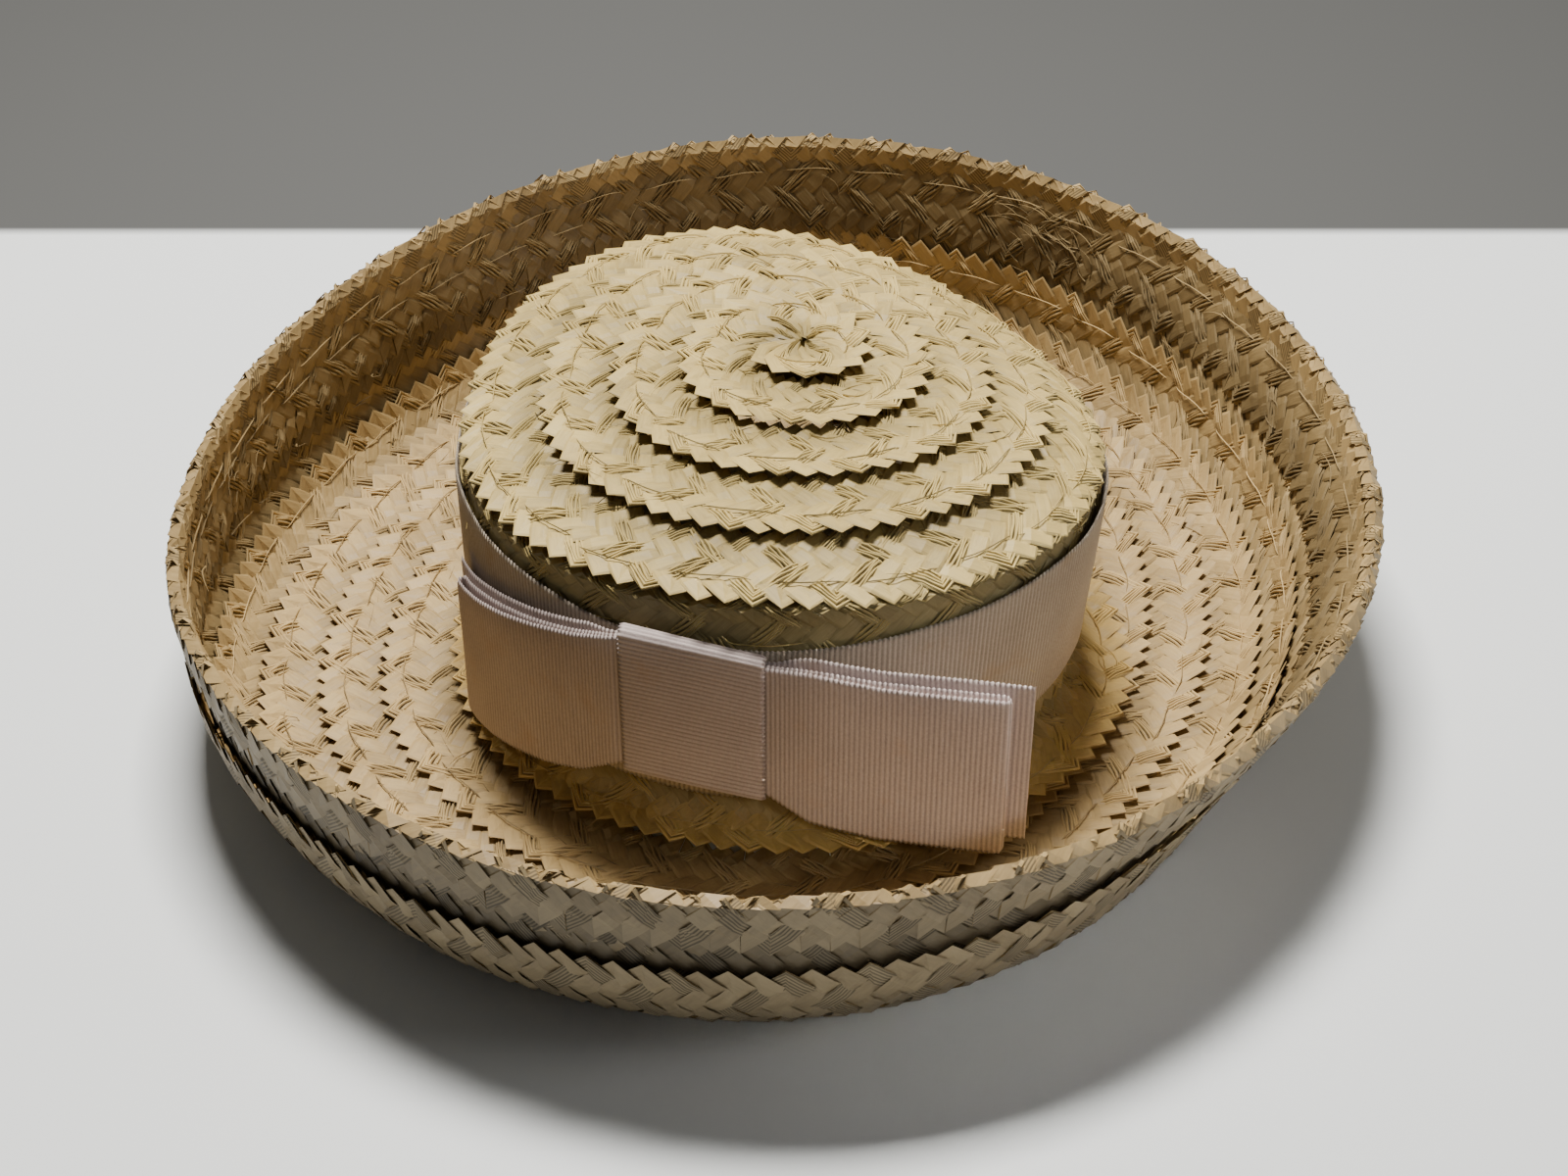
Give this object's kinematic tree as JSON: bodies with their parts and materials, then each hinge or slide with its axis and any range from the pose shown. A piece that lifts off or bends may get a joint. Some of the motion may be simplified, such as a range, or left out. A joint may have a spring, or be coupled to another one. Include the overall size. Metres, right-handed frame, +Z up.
{
  "type": "straw hat with rolled brim",
  "caption": "Sewn straw braid hat with an oval stepped crown, a brim rolled up all round, and a ribbon band with a flat tailored bow.",
  "frame": {"origin": "middle of the hat's footprint box, on the surface it stands on", "axes": "+Z up through the crown; -Y toward the side that carries the bow; +X to the right as the bow is faced"},
  "size_m": [0.3272, 0.3586, 0.083],
  "materials": {
    "straw_crown": "plaited straw, khaki beige, satin",
    "straw_brim": "plaited straw, warm tan, satin",
    "ribbon": "ribbed ribbon, faded pink beige, matte"
  },
  "bodies": {
    "root": {"crown": "straw_crown", "brim": "straw_brim", "rim_braid": "straw_brim", "hat_band": "ribbon", "bow_back_strip": "ribbon", "bow_left_loop": "ribbon", "bow_right_loop": "ribbon", "bow_knot": "ribbon"}
  },
  "joints": []
}
